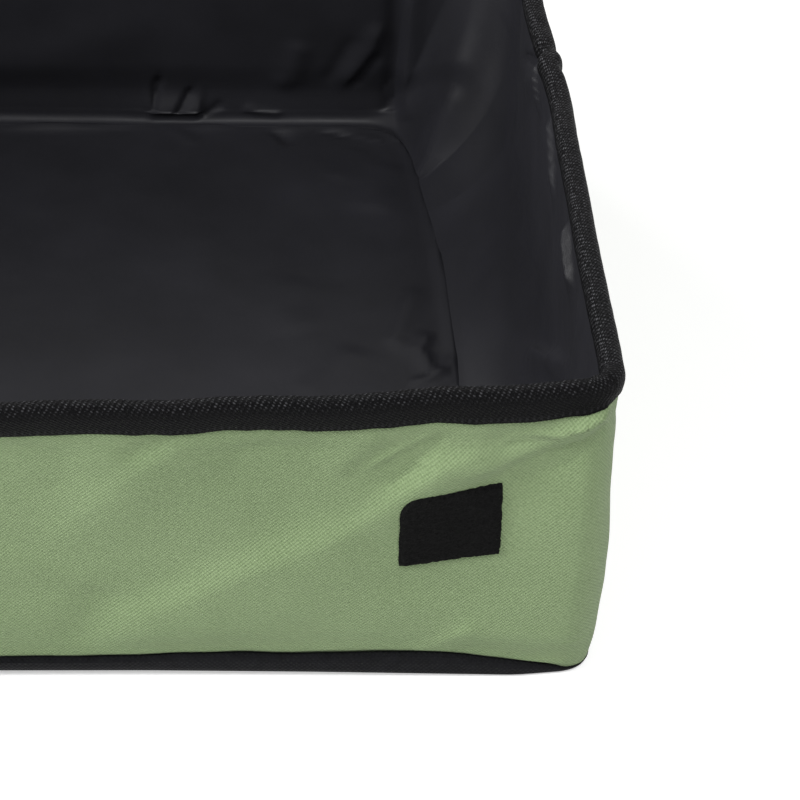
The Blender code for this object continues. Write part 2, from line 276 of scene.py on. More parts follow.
linerCloth = {
    "thick": 0.0006,
    "wave": (0.00035, 0.090), "fadeTop": (0.118, 0.108),
    "cornerRadius": ([5, 30, 60, 86, 100, 108, 114], [42, 42, 40, 36, 27, 14, 7.5]),  # up it, in millimetres
    # how round the foot is: share of the corner's radius from its middle, and millimetres
    "foot": ([-1.35, -1.12, -1.0, -0.85, -0.60, -0.33, 0, 0.33, 1.0, 1.7, 2.4, 3.6],
             [5.4, 5.8, 9.5, 16.5, 25, 31, 34, 35, 35, 30.5, 28.5, 27.5]),
    "leanUp": 0.40,  # how much taller than wide the side walls' soft foot is
    "footAngle": 0.42,  # slope where it leaves the floor
    "steepReach": (0.010, 0.040),  # where round the corner the cloth runs straight up to the wall
    "steepUp": 1.3, "steepLean": 1.7,  # how much taller it is there, and the power of its curve
    "cornerCrease": 0.30,
    "ridge": 0.0011,  # the pinched line where the side walls' cloth meets the floor
    "pinch": (0.0003, 0.0026),  # the same line on the walls' side: height and reach
    "lowPush": 0.0015, "highPush": 0.0016,  # how far the end walls' cloth stands off, low down and above
    "lowFade": (0.008, 0.0195), "highFrom": (0.0185, 0.032), "highFade": (0.112, 0.070),
    "creaseFrom": (0.006, 0.030), "creaseFade": (0.112, 0.090),
    "deepest": (0.0010, 0.0022),  # by how much it may sink at the corners, and more along the walls
    "backFolds": [  # x along the wall, height up it
        ([55, 7, 66, 9, 78, 7], (8, 6), 3, (0.15, 0.15)),
        ([61, 27, 59, 16, 57.5, 8], 1.8, -1.8, (0.3, 0.1)),
        ([74, 21, 70.5, 14, 67, 8], 1.8, -1.8, (0.3, 0.1)),
        ([86, 14, 81, 10, 77, 6], 2.2, -0.9, (0.2, 0.1)),
        ([92, 12, 99, 9, 110, 7], 2.4, 0.9),
        ([131, 20, 136, 28, 143, 40, 147, 52], (4.2, 2.6), 1.6),
        ([136, 20, 140, 28, 147, 38], 2.4, -0.9),
        ([125, 22, 130, 32, 137, 46], 3.4, -0.8),
        ([104, 20, 112, 26, 116, 44], 5, 1.2),
        ([-20, 30, 20, 34, 60, 52], 10, 1.2),
        ([-140, 52, -147, 34, -142, 16], 4, 2.4),
        ([-80, 24, -72, 13, -76, 5], 2.4, 2.2),
        ([-40, 100, -10, 70, 30, 58], 14, 1.2),
    ],
    "frontFolds": [
        ([150, 60, 128, 34, 116, 12], 6, 1.8),
        ([-140, 70, -122, 40, -108, 12], 7, 1.8),
        ([20, 90, 34, 50, 22, 16], 11, 1.4),
        ([70, 26, 74, 14, 70, 6], 2.4, 2.2),
        ([-52, 24, -48, 13, -54, 6], 2.4, 2.2),
    ],
    "sideFolds": [  # y along the wall, height up it
        ([-18, 17, -26, 23.5, -54, 49.5, -80, 67, -88, 73], (9, 2.4), 3.2, (0.2, 0.3)),
        ([-56, 108, -64, 104, -73, 99, -82, 90], (9, 2.6), 3.6, (0.2, 0.5)),
        ([-92, 108, -97, 92, -99, 70], 6, 1.4),
        ([4, 109, -6, 104.5, -18, 99, -30, 90], (9, 2.8), 2.8, (0.2, 0.4)),
        ([38, 109, 32, 105, 26, 99, 20, 92], (6, 2.6), 2, (0.2, 0.4)),
        ([64, 91, 45, 102, 25, 114], 2, -1.8, (0.15, 0.05)),
        ([58, 84, 40, 97, 26, 106], (6, 3), 1),
        ([24, 117, 14, 92, 4, 52, 1, 20], 9, 0.5),
        ([70, 100, 78, 60, 72, 24], 16, 1.4),
        ([-112, 100, -100, 60, -92, 20], 11, 1.4),
    ],
    "cornerFolds": [  # lam from the corner, height up it
        ([-43, 8, -43, 60, -39, 96], 3.6, -1.4, (0.03, 0.2)),
        ([-35, 0, -35.5, 60, -32, 96], (3, 8), 2.2, (0.05, 0.2)),
        ([24, -24, 16, 116], 36, 1.2, (0.05, 0.6)),
        ([40, 100, 34, 80, 32, 60], 11, 0.6),
    ],
}
innerX, innerY = halfW - tub["wall"], halfD - tub["wall"]


def softened(low, high, count, table, times):
    # a table of values with its corners rounded off
    place = np.linspace(low, high, count)
    value = np.interp(place, *table)
    for _ in range(times):
        value[1:-1] = (value[:-2] + value[1:-1] * 2 + value[2:]) / 4
    return place, value


softHeights, softRadii = softened(5, 114, 110, linerCloth["cornerRadius"], 30)
softLams, softFeet = softened(-1.6, 3.6, 209, linerCloth["foot"], 24)


def linerRadius(h):
    return np.interp(h * 1000, softHeights, softRadii) / 1000


def filletOf(lam, radius):
    # how round the cloth is where it leaves the floor
    return np.interp(lam / radius, softLams, softFeet) / 1000


def linerRelief(sx, sy, lam, mu, fillet):
    h = tub["floorTop"] + mu
    acrossEnd, alongSide = sx * (innerX + lam), sy * (innerY - lam)
    fade = smooth(h, *linerCloth["fadeTop"]) * smooth(mu, -0.95 * fillet, 0.1 * fillet + 0.0045)
    onSide = smooth(lam, -0.004, 0.030)
    high, long = linerCloth["wave"]
    total = high * ripple(acrossEnd, h + sy, 21, long) * (1 - onSide)
    total = total + high * ripple(alongSide, h + sx, 23, long) * onSide
    total = total + wallFolds(linerCloth, sx, sy, acrossEnd, alongSide, h, onSide)
    foot = linerCloth["lowPush"] * (1 - smooth(h, *linerCloth["lowFade"]))
    above = smooth(h, *linerCloth["highFrom"]) * smooth(h, *linerCloth["highFade"])
    foot = foot + linerCloth["highPush"] * above
    total = total + foot * (1 - onSide) + foldsOf(lam, h, linerCloth["cornerFolds"])
    atCorner, more = linerCloth["deepest"]
    low = -atCorner - more * smooth(-np.abs(lam), -0.038, -0.018)
    pinch, reach = linerCloth["pinch"]
    return np.maximum(total * fade, low) + pinch * bell(mu, -fillet, reach)


def linerPoint(sx, sy, lam, mu, inset=0.0):
    h = tub["floorTop"] + np.maximum(mu, 0)
    radius = linerRadius(h)
    crease = smooth(h, *linerCloth["creaseFrom"]) * smooth(h, *linerCloth["creaseFade"])
    crease = linerCloth["cornerCrease"] * crease
    place, out = around(sx, sy, lam, h, innerX, innerY, radius, crease)
    fillet = filletOf(lam, radius)
    wide = smooth(fillet, 0.008, 0.030)
    steep = wide * bell(lam, *linerCloth["steepReach"])
    tall = fillet * (1 + linerCloth["leanUp"] * wide + linerCloth["steepUp"] * steep)
    first = linerCloth["footAngle"] * wide
    share = np.clip((mu + fillet) / (tall + fillet), 0, 1)
    roll = first + (math.pi / 2 - first) * share
    inward = fillet * (1 - np.sin(roll)) / (1 - np.sin(first))
    height = tall * (np.cos(first) - np.cos(roll)) / np.cos(first)
    inward = inward + steep * (fillet * (1 - share) ** linerCloth["steepLean"] - inward)
    height = height + steep * (tall * share - height)
    inward = np.where(mu < -fillet, -mu, inward)
    height = np.where(mu > tall, mu, height)
    place = place - out * inward[..., None]
    place[..., 2] += height - np.maximum(mu, 0)
    facing = -out * np.sin(roll)[..., None]
    facing[..., 2] += np.cos(roll)
    push = linerRelief(sx, sy, lam, mu, fillet) - inset
    return place + facing * push[..., None], facing


# Meshes

def normalsOf(surface, a, b, step=0.0004):
    # the true normals, so that neighbouring pieces shade as one cloth
    here, facing = surface(a, b)
    du = surface(a + step, b)[0] - surface(a - step, b)[0]
    dv = surface(a, b + step)[0] - surface(a, b - step)[0]
    normal = unit(np.cross(du, dv))
    return here, normal * np.sign(np.sum(normal * facing, -1, keepdims=True))


def addObject(name, data):
    thing = bpy.data.objects.new(name, data)
    bpy.context.scene.collection.objects.link(thing)
    return thing


def meshPiece(name, points, faces, material, uv=None, normals=None, shade=True):
    mesh = bpy.data.meshes.new(name)
    mesh.from_pydata(np.asarray(points).tolist(), [], [tuple(face) for face in faces])
    mesh.polygons.foreach_set("use_smooth", np.broadcast_to(shade, len(faces)).tolist())
    if uv is not None:
        vertices = np.zeros(len(mesh.loops), int)
        mesh.loops.foreach_get("vertex_index", vertices)
        layer = mesh.uv_layers.new(name="weave")
        layer.data.foreach_set("uv", uv[vertices].astype(np.float32).ravel())
    if normals is not None:
        mesh.normals_split_custom_set_from_vertices(normals.tolist())
    mesh.materials.append(material)
    return addObject(name, mesh)


def flatUv(u, v):
    # the weave's UV is in decimetres
    return np.stack([u.ravel(), v.ravel()], -1) * 10


def sheetPiece(name, points, normals, uv, thick, material):
    # a thin closed cloth: the shown face, its back and the edge between them
    rows, cols = points.shape[:2]
    count = rows * cols
    index = np.arange(count).reshape(rows, cols)
    quads = np.stack([index[:-1, :-1], index[:-1, 1:], index[1:, 1:], index[1:, :-1]], -1).reshape(-1, 4)
    edge = np.concatenate([index[0], index[1:, -1], index[-1, -2::-1], index[-2:0:-1, 0]])
    after = np.roll(edge, -1)
    strip = np.stack([after, edge, edge + count, after + count], -1)
    faces = np.concatenate([quads, quads[:, ::-1] + count, strip])
    middle = points[rows // 2:rows // 2 + 2, cols // 2:cols // 2 + 2]
    turn = np.cross(middle[0, 1] - middle[0, 0], middle[1, 0] - middle[0, 0])
    if turn @ normals[rows // 2, cols // 2] < 0:
        faces = faces[:, ::-1]
    flat, facing = points.reshape(-1, 3), normals.reshape(-1, 3)
    return meshPiece(name, np.concatenate([flat, flat - facing * thick]), faces, material,
                     np.concatenate([flatUv(*uv)] * 2), np.concatenate([facing, -facing]))


def endFace(point, sy, half):
    # the surface of an end wall, a along it from its middle and b up it
    return lambda a, b: point(signOf(a), sy, np.abs(a) - half, b)


def sideFace(point, sx, half):
    return lambda a, b: point(sx, signOf(a), half - np.abs(a), b)


def bandFaces(rows, cols):
    # quads between rings of points, and a cap at each end
    index = np.arange(rows * cols).reshape(rows, cols)
    turned = np.roll(index, -1, 1)
    quads = np.stack([index[:-1], turned[:-1], turned[1:], index[1:]], -1).reshape(-1, 4)
    return [tuple(face) for face in quads] + [tuple(index[0, ::-1]), tuple(index[-1])]


# Materials: colours from 0 to 255, pitches in millimetres, and distance and strength of the bump

def linear(colour):
    return (*((c / 255 / 12.92) if c <= 10.3 else ((c / 255 + 0.055) / 1.055) ** 2.4 for c in colour), 1)


def addNode(tree, kind, inputs=(), **settings):
    node = tree.nodes.new(kind)
    for key, value in settings.items():
        setattr(node, key, value)
    for place, value in dict(inputs).items():
        if isinstance(value, bpy.types.NodeSocket):
            tree.links.new(value, node.inputs[place])
        else:
            node.inputs[place].default_value = value
    return node


def calc(tree, operation, *values):
    return addNode(tree, "ShaderNodeMath", dict(enumerate(values)), operation=operation).outputs[0]


def mixOf(tree, start, *parts):
    # start plus each value times its weight
    for value, weight in parts:
        start = calc(tree, "MULTIPLY_ADD", value, weight, start)
    return start


def spanOf(tree, value, low, high, start=0.0, end=1.0):
    # 0 to 1, or start to end, as value goes from low to high
    return addNode(tree, "ShaderNodeMapRange", {0: value, 1: low, 2: high, 3: start, 4: end}).outputs[0]


def rampOf(tree, factor, stops):
    node = addNode(tree, "ShaderNodeValToRGB", {0: factor})
    elements = node.color_ramp.elements
    while len(elements) < len(stops):
        elements.new(0.5)
    for element, (spot, colour) in zip(elements, stops):
        element.position = spot
        element.color = linear(colour)
    return node.outputs[0]


def noiseOf(tree, spot, scale, detail, roughness):
    return addNode(tree, "ShaderNodeTexNoise",
                   {"Vector": spot, "Scale": scale, "Detail": detail, "Roughness": roughness}).outputs[0]


def waveOf(tree, value, pitch):
    # a sine along the weave's UV, which is in decimetres
    return calc(tree, "SINE", calc(tree, "MULTIPLY", value, 2 * math.pi * 100 / pitch))


def weaveOf(tree, u, v, pitch, pitchUp=None):
    return calc(tree, "MULTIPLY", waveOf(tree, u, pitch), waveOf(tree, v, pitchUp or pitch))


def makeMaterial(name, look, build):
    # build gives where it is in the range of colours and the height for its bump, perhaps more sockets
    material = bpy.data.materials.new(name)
    material.use_nodes = True
    tree = material.node_tree
    shader = tree.nodes["Principled BSDF"]
    for socket, value in look["surface"].items():
        shader.inputs[socket].default_value = value
    spot = addNode(tree, "ShaderNodeUVMap", uv_map="weave").outputs[0]
    parts = addNode(tree, "ShaderNodeSeparateXYZ", {0: spot}).outputs
    level, height, *more = build(tree, look, spot, parts[0], parts[1])
    distance, strength = look["bump"]
    bump = addNode(tree, "ShaderNodeBump", {"Height": height, "Distance": distance, "Strength": strength})
    sockets = {"Base Color": rampOf(tree, level, look["colours"]), "Normal": bump.outputs[0]}
    # a painted highlight: light dots mixed into the base colour where build marks them
    if "glint" in look:
        mixed = {0: more.pop(), 6: sockets["Base Color"], 7: linear(look["glint"])}
        sockets["Base Color"] = addNode(tree, "ShaderNodeMix", mixed, data_type="RGBA").outputs[2]
    if "roughness" in look:
        sockets["Roughness"] = spanOf(tree, more.pop(), 0.3, 0.7, *look["roughness"])
    for socket, value in sockets.items():
        tree.links.new(value, shader.inputs[socket])
    return material


oxfordLook = {
    "colours": [(0.15, (104, 124, 84)), (0.5, (131, 150, 110)), (0.85, (147, 166, 125))],
    "surface": {"Roughness": 0.82, "Specular IOR Level": 0.25, "Sheen Weight": 0.10, "Sheen Roughness": 0.5},
    "bump": (0.00022, 0.55), "threadPitch": 1.35,
    # scale of the cloudy patches, start of the mix and how much each part adds to it
    "mottle": 1.4, "start": -0.065, "basket": 0.17, "fine": 0.60, "broad": 0.35, "slub": 0.18,
}


def oxfordNodes(tree, look, spot, u, v):
    streak = addNode(tree, "ShaderNodeMapping", {"Vector": spot, "Scale": (4, 46, 1)}).outputs[0]
    basket, fine = weaveOf(tree, u, v, look["threadPitch"]), noiseOf(tree, spot, 90, 3, 0.6)
    broad, slub = noiseOf(tree, spot, look["mottle"], 3, 0.55), noiseOf(tree, streak, 4, 2, 0.6)
    level = mixOf(tree, look["start"], (basket, look["basket"]), (fine, look["fine"]), (broad, look["broad"]),
                  (slub, look["slub"]))
    return level, mixOf(tree, basket, (fine, 0.6))


linerLook = {
    "colours": [(0.3, (27, 27, 30)), (0.7, (34, 34, 38))],
    "surface": {"Specular IOR Level": 0.17, "Coat Weight": 0.03, "Coat Roughness": 0.28},
    "bump": (0.00012, 0.5), "threadPitch": 0.9, "roughness": (0.40, 0.50),
}


def linerNodes(tree, look, spot, u, v):
    crumple, fine = noiseOf(tree, spot, 9, 4, 0.62), noiseOf(tree, spot, 60, 2, 0.5)
    height = mixOf(tree, 0.0, (crumple, 2.0), (fine, 0.5), (weaveOf(tree, u, v, look["threadPitch"]), 0.12))
    return noiseOf(tree, spot, 1.6, 4, 0.55), height, noiseOf(tree, spot, 5, 3, 0.6)


tapeLook = {
    # the light grey after the colours is a painted highlight, put into the tape's colour as dots
    "colours": [(0.3, (5, 5, 6)), (0.8, (13, 13, 14))], "glint": (86, 86, 89),
    "surface": {"Roughness": 0.60, "Specular IOR Level": 0.07},
    "bump": (0.00030, 0.8), "slantPitch": 1.65, "rowPitch": 1.7, "ribPitch": 2.1,
    "topFrom": 0.070, "topTo": 0.180, "crest": 0.150,  # where along the section the painted highlight lies, in dm: on the top, brightest along the crest
}


def tapeNodes(tree, look, spot, u, v):
    # the tape's painted highlight: weave dots made light on the top of its section, brightest along the crest,
    # and a faint painted light line on the ribs at its lower edge
    cells = weaveOf(tree, mixOf(tree, u, (v, 0.5)), v, look["slantPitch"], look["rowPitch"])
    patchy = noiseOf(tree, spot, 75, 2, 0.8)
    top = calc(tree, "MULTIPLY", spanOf(tree, v, look["topFrom"], look["topFrom"] + 0.03),
               spanOf(tree, v, look["topTo"] + 0.02, look["topTo"]))
    highlightDots = calc(tree, "MULTIPLY", calc(tree, "MAXIMUM", cells, 0.0), spanOf(tree, patchy, 0.44, 0.66))
    toCrest = calc(tree, "ABSOLUTE", calc(tree, "SUBTRACT", v, look["crest"]))
    highlightDots = calc(tree, "MULTIPLY", highlightDots, calc(tree, "ADD", spanOf(tree, toCrest, 0.014, 0.0, 0.0, 1.3), 1.0))
    # painted highlight on the ribs near the lower edge
    ribHighlight = calc(tree, "MULTIPLY", calc(tree, "MAXIMUM", waveOf(tree, u, look["ribPitch"]), 0.0),
                spanOf(tree, v, 0.022, 0.008))
    glint = mixOf(tree, calc(tree, "MULTIPLY", highlightDots, top), (ribHighlight, 0.12))
    return mixOf(tree, patchy, (cells, 0.3)), mixOf(tree, cells, (patchy, 0.8)), glint


baseLook = {"colours": [(0.25, (11, 11, 13)), (0.8, (22, 22, 25))], "threadPitch": 1.7,
            "surface": {"Roughness": 0.78, "Specular IOR Level": 0.12}, "bump": (0.00022, 0.7)}


def baseNodes(tree, look, spot, u, v):
    basket = weaveOf(tree, u, v, look["threadPitch"])
    return mixOf(tree, noiseOf(tree, spot, 24, 4, 0.65), (basket, 0.16)), basket


patchLook = {"colours": [(0.3, (10, 10, 10)), (0.85, (24, 24, 24))], "loopScale": 120.0,
             "surface": {"Roughness": 0.95, "Specular IOR Level": 0.06}, "bump": (0.0005, 0.9)}


def patchNodes(tree, look, spot, u, v):
    loops = addNode(tree, "ShaderNodeTexVoronoi", {"Vector": spot, "Scale": look["loopScale"]}).outputs[0]
    fuzz = noiseOf(tree, spot, 150, 3, 0.7)
    return mixOf(tree, 0.0, (fuzz, 0.7), (loops, 0.5)), calc(tree, "ADD", loops, fuzz)


boardLook = {"colours": [(0.3, (120, 108, 88)), (0.7, (158, 143, 118))],
             "surface": {"Roughness": 0.85, "Specular IOR Level": 0.2}, "bump": (0.0002, 0.4)}


def boardNodes(tree, look, spot, u, v):
    fibre = noiseOf(tree, addNode(tree, "ShaderNodeTexCoord").outputs["Object"], 260, 4, 0.7)
    return fibre, fibre


green = makeMaterial("oxford_cloth", oxfordLook, oxfordNodes)
lining = makeMaterial("coated_liner", linerLook, linerNodes)
tape = makeMaterial("binding_tape", tapeLook, tapeNodes)
baseBlack = makeMaterial("base_cloth", baseLook, baseNodes)
hookPad = makeMaterial("hook_and_loop", patchLook, patchNodes)
board = makeMaterial("stiffening_board", boardLook, boardNodes)
print("materials made")


# Where each piece goes

def settle(piece, slotName, replaced, body=None, joint=None, flat=None):
    # rides one body, or, given a joint, keeps its place with that baked into its mesh; flat gives it a mesh of
    # its own
    if joint:
        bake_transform(piece)
    else:
        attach(piece, body)
    if flat:
        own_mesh(piece)
    for node in replaced:
        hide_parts(node)
    return piece


def makeCloth(name, surface, a, b, cloth, replaced, shift=0.0, **where):
    # a sheet of a cloth, which is thickness, material and slot; its weave starts at shift
    points, normals = normalsOf(surface, a, b)
    thick, material, slotName = cloth
    piece = sheetPiece(name, points, normals, (a + shift, b), thick, material)
    return settle(piece, slotName, replaced, **where)


def endName(sy):
    return "front" if sy < 0 else "back"


def webName(sx, sy):
    return "web_%s_%s" % (endName(sy), "right" if sx > 0 else "left")


# levels between which the cloth bends, from its hinge, and the level of the corners' upright bends
bends = {"end": (-0.004, 0.005), "side": (-0.003, 0.006), "corner": 0.06}
arcOut = tub["cornerOut"]


def endJoint(end, sy, half):
    return ("base", end + "_wall", *((0, sy * half, tub["endHinge"] + level) for level in bends["end"]))


def sideJoint(side, sx, half):
    return ("base", side + "_wall", *((sx * half, 0, tub["sideHinge"] + level) for level in bends["side"]))


def cornerJoint(sx, sy):
    first = (sx * (halfW - arcOut), sy * halfD, bends["corner"])
    second = (sx * halfW, sy * (halfD - arcOut), bends["corner"])
    return (endName(sy) + "_wall", webName(sx, sy), first, second)


# Green covers

coverGrid = {
    "endColumns": 190, "sideColumns": 130, "arcColumns": 14, "webColumns": 40, "footColumns": 6,
    "rows": 56, "webRows": 47, "footRows": 12,
    "endCrowd": 1.15, "sideCrowd": 1.1,  # how much closer the rows stand low down
    "lap": 0.0006,  # how far the cloth runs on below its seam
    "footLevel": 0.0030,
    "lip": (0.0012, 0.0022, 0.0034, 0.0048),  # rows above a corner's foot, tucked in behind the corner
    "tucks": ((0.0012, (0, 0.0010)), (0.0042, (0.0010, 0.0050))),  # how far in, and over which heights
}


def arcAndWeb(h, columns):
    # lam from the end wall's side of the corner's arc to the mitre, row by row
    turn = np.linspace(-arcOut, arcOut, coverGrid["arcColumns"] + 1)
    reach = (halfD - mitre(h))[:, None]
    share = np.linspace(0, 1, columns + 1)[None, 1:]
    return np.concatenate([np.broadcast_to(turn, (len(h), len(turn))), arcOut + (reach - arcOut) * share], 1)


def lipInset(h):
    return sum(inset * smooth(h - tub["endHinge"], *span) for inset, span in coverGrid["tucks"])


coverCloth = (greenCloth["thick"], green, "oxford_cloth")
for end, sy in ends.items():
    across = np.linspace(-(halfW - arcOut), halfW - arcOut, coverGrid["endColumns"] + 1)
    foot = seamHeight(np.sign(across + 1e-9), sy, np.abs(across) - halfW) - coverGrid["lap"]
    share = np.linspace(0, 1, coverGrid["rows"] + 1)[:, None] ** coverGrid["endCrowd"]
    h = foot + (tub["coverTop"] - foot) * share
    makeCloth(end + "_cover_cloth", endFace(coverPoint, sy, halfW), np.broadcast_to(across, h.shape), h,
              coverCloth, [end + "_cover", end + "_lower_cover"], joint=endJoint(end, sy, halfD))

for side, sx in sides.items():
    share = np.linspace(0, 1, coverGrid["rows"] + 1) ** coverGrid["sideCrowd"]
    level = coverGrid["footLevel"] + (tub["coverTop"] - coverGrid["footLevel"]) * share
    y = mitre(level)[:, None] * np.linspace(-1, 1, coverGrid["sideColumns"] + 1)[None, :]
    foot = seamHeight(sx, signOf(y), halfD - np.abs(y)) - coverGrid["lap"]
    h = foot + (tub["coverTop"] - foot) * share[:, None]
    y = np.clip(y, -mitre(h), mitre(h))
    y[:, 0], y[:, -1] = -mitre(h[:, 0]), mitre(h[:, -1])
    makeCloth(side + "_cover_cloth", sideFace(coverPoint, sx, halfD), y, h, coverCloth, [side + "_cover"],
              joint=sideJoint(side, sx, halfW))

for sx, sy in corners:
    web, hinge = webName(sx, sy), tub["endHinge"]
    level = hinge + (tub["coverTop"] - hinge) * np.linspace(0, 1, coverGrid["webRows"] + 1)
    lam = arcAndWeb(level, coverGrid["webColumns"])
    h = np.broadcast_to(level[:, None], lam.shape)
    makeCloth(web + "_cover_cloth", lambda a, b: coverPoint(sx, sy, a, b), lam, h, coverCloth,
              [web + "_cover"], halfW, joint=cornerJoint(sx, sy))
    share = np.linspace(0, 1, coverGrid["footRows"] + 1)
    lam = arcAndWeb(coverGrid["footLevel"] + (hinge - coverGrid["footLevel"]) * share, coverGrid["footColumns"])
    foot = seamHeight(sx, sy, lam) - coverGrid["lap"]
    h = foot + (hinge - foot) * share[:, None]
    # the lip closes the hole that the folded corner would show
    lam = np.concatenate([lam] + [lam[-1:]] * len(coverGrid["lip"]))
    h = np.concatenate([h] + [h[-1:] + above for above in coverGrid["lip"]])
    makeCloth(web + "_foot_cloth", lambda a, b: coverPoint(sx, sy, a, b, lipInset(b)), lam, h, coverCloth, [],
              halfW, body="base")
print("green covers made")


# Black base cloth: the underside and its turned-up edge

baseTray = {
    "thick": 0.0012, "underEdge": 0.020, "proud": 0.0002, "cornerIn": 0.0016, "spacing": 0.004, "arcSteps": 12,
    "rim": ((0.0, -0.0003), (0.0011, 0.0003), (0.0024, 0.0)),  # inset, and height from the seam
    "innerFoot": (0.0026, 0.0060),  # insets of the inner side's foot, upright and flat
    # how round the lower edge is along an end and along a side, all in millimetres
    "roundEnd": ([0, 60, 110, 145, 172, 186, 199], [7.6, 6.8, 5.0, 3.2, 1.8, 1.4, 1.6]),
    "roundSide": ([0, 40, 154], [1.6, 3.4, 5.0]),
}


def perimeter():
    # sx, sy and lam all the way round, from the front's left end
    endRun, sideRun = (np.linspace(arcOut - half, half - arcOut, int(2 * half / baseTray["spacing"]))[1:-1]
                       for half in (halfW, halfD))
    bend = np.linspace(-arcOut, arcOut, baseTray["arcSteps"] + 1)
    parts = []
    for s in (1, -1):
        parts += [(signOf(endRun[::s]), -s, np.abs(endRun[::s]) - halfW), (s, -s, bend),
                  (s, signOf(sideRun[::s]), halfD - np.abs(sideRun[::s])), (s, s, bend[::-1])]
    return np.concatenate([np.stack(np.broadcast_arrays(*part)) for part in parts], 1)


def trayRings():
    sx, sy, lam = perimeter()
    middle = np.where(lam < 0, smooth(-lam, 0.006, 0.026), smooth(lam, 0.004, 0.034))
    onEnd = np.interp((halfW + lam) * 1000, *baseTray["roundEnd"])
    edgeRound = np.where(lam < 0, onEnd, np.interp(lam * 1000, *baseTray["roundSide"])) / 1000
    top = np.maximum(seamHeight(sx, sy, lam), edgeRound + 0.0006)
    under = np.zeros_like(lam)
    # inset and height of each ring, from the underside round the edge and back inside
    sections = [(baseTray["underEdge"], under)]
    for angle in np.linspace(0, math.pi / 2, 7):
        sections.append((edgeRound * (1 - math.sin(angle)), edgeRound * (1 - math.cos(angle))))
    sections.append((-baseTray["proud"], edgeRound + (top - edgeRound) * 0.5))
    sections += [(inset, top + above) for inset, above in baseTray["rim"]]
    thick, (upright, flat) = baseTray["thick"], baseTray["innerFoot"]
    sections.append((upright, edgeRound + thick))
    sections += [(inset, thick + under) for inset in (flat, baseTray["underEdge"] + 0.002)]
    rings = []
    for inset, height in sections:
        place, out = around(sx, sy, lam, height, halfW, halfD, arcOut)
        rings.append(place - out * (inset + baseTray["cornerIn"] * (1 - middle))[:, None])
    return np.array(rings)


def makeTray():
    rings = trayRings()
    faces = bandFaces(*rings.shape[:2])
    length = np.cumsum(np.linalg.norm(np.diff(rings[3], axis=0, prepend=rings[3][-1:]), axis=1))
    height = np.cumsum(np.linalg.norm(np.diff(rings, axis=0, prepend=rings[:1]), axis=2), axis=0)
    uv = flatUv(np.broadcast_to(length, height.shape), height)
    uv[:len(length)] = flatUv(rings[0, :, 0], rings[0, :, 1])
    tray = meshPiece("base_cloth_tray", rings.reshape(-1, 3), faces, baseBlack, uv,
                     shade=[len(face) == 4 for face in faces])
    return settle(tray, "base_cloth", ["base_fabric"], body="base")


makeTray()
print("base made")


# Liner: floor, four walls and four soft corners

floorSheet = {
    "columns": 190, "rows": 150, "halfX": 0.1855, "halfY": 0.1478,
    "waves": ((0.0006, 0.17), (0.00018, 0.065), (0.00002, 0.022)),  # height and length
    "endDip": 0.0006,  # how far it sinks towards the front and the back
    "deepest": 0.0016, "below": 0.0002,
    # the ridges along its edge: spans in which they rise, middle and reach, and where the ends' begins
    "sideSpan": (0.100, 0.055), "endSpan": (0.150, 0.128), "sideLine": (0, 0.0028), "endLine": (-0.0008, 0.0034),
    "endFrom": 0.136, "endRidge": 0.0012,
    "hidden": 0.0013,  # how far its edge goes down under the walls' cloth
    "folds": [  # x and y on the floor
        ([102, 147, 109, 139, 113, 131], (4, 3), -1.5, (0.02, 0.3)),
        ([114, 147, 121, 143.4, 129.5, 140.6, 138, 138], 1.7, -0.9, (0.05, 0.3)),
        ([126, 143, 140, 139, 151, 135], (5, 1.8), 0.7),
        ([38, 148, 42, 144, 52, 143], (3, 3), -0.9),
        ([140, 132, 134, 120, 126, 108], 6, 0.7),
        ([150, 124, 144, 108, 140, 86], 8, 0.9),
        ([62, 147, 68, 139, 76, 131], 3.4, 0.6),
        ([-60, 146, -66, 134, -60, 122], 4, 1),
        ([156, 44, 150, 26, 146, 10, 150, 0], (5, 3), 0.9),
        ([159, 16, 155, 4, 158, -7, 164, -11], (2.6, 4), 1.2),
        ([168, 2, 163, -8, 157, -13, 149, -16], 3, 1.3),
        ([168, -10, 160, -18, 152, -28], 3.4, 0.9),
        ([112, 50, 106, 30, 112, 12], 9, 0.6),
        ([134, 8, 124, -10, 110, -24], 7, 0.8),
        ([-166, 4, -158, -6, -146, -12], 3.4, 1.8),
        ([-160, 20, -120, 3, -60, -3, 0, 1, 60, -2, 120, 2, 150, -4], 10, 0.15),
        ([-100, -144, -92, -130, -96, -112], 4, 1),
        ([90, -145, 84, -132, 92, -118], 4, 1),
    ],
}
innerCloth = (linerCloth["thick"], lining, "coated_liner")


def inFromEdge(x, y):
    # how far inside the line where the walls' cloth comes down, negative outside it
    u, v = np.abs(x), np.abs(y)
    nearest = np.full(np.broadcast(u, v).shape, 1.0)
    for i in range(len(floorOutline) - 1):
        start, run = floorOutline[i], floorOutline[i + 1] - floorOutline[i]
        t = np.clip(((u - start[0]) * run[0] + (v - start[1]) * run[1]) / (run @ run), 0, 1)
        nearest = np.minimum(nearest, np.hypot(u - start[0] - t * run[0], v - start[1] - t * run[1]))
    outside = (u > np.interp(v, floorOutline[::-1, 1], floorOutline[::-1, 0])) | (v > floorOutline[0, 1])
    return np.where(outside, -nearest, nearest)


